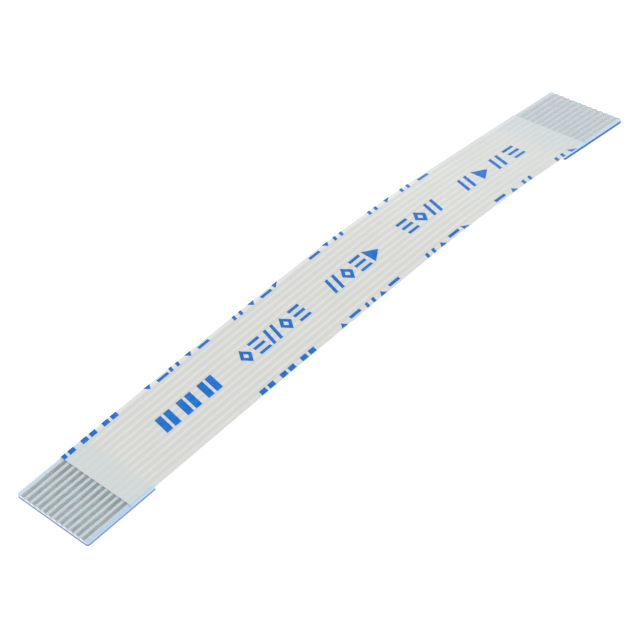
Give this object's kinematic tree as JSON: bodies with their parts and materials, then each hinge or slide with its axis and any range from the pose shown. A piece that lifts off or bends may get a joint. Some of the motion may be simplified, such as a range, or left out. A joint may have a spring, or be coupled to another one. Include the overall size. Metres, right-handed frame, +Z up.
{
  "type": "flat flexible cable",
  "caption": "Flat flexible jumper cable with bare tinned contacts on the same side at both ends and a blue stiffener under each end, lying in a low arch.",
  "frame": {"origin": "on the table, at the middle of the ground that the cable covers", "axes": "+X along the cable, from the near end to the far end; +Y across it; +Z up, out of the contact side"},
  "size_m": [0.05, 0.0068, 0.0021],
  "materials": {
    "base_film": "satin",
    "cover_film": "satin",
    "tinned_copper": "satin",
    "stiffener_tape": "satin",
    "tape_adhesive": "matte",
    "blue_ink": "matte"
  },
  "bodies": {
    "root": {"base_film": "base_film", "conductor_01": "tinned_copper", "conductor_02": "tinned_copper", "conductor_03": "tinned_copper", "conductor_04": "tinned_copper", "conductor_05": "tinned_copper", "conductor_06": "tinned_copper", "conductor_07": "tinned_copper", "conductor_08": "tinned_copper", "conductor_09": "tinned_copper", "conductor_10": "tinned_copper", "conductor_11": "tinned_copper", "conductor_12": "tinned_copper", "cover_film": "cover_film", "printed_marks": "blue_ink", "near_adhesive": "tape_adhesive", "far_adhesive": "tape_adhesive", "near_stiffener": "stiffener_tape", "far_stiffener": "stiffener_tape"}
  },
  "joints": []
}
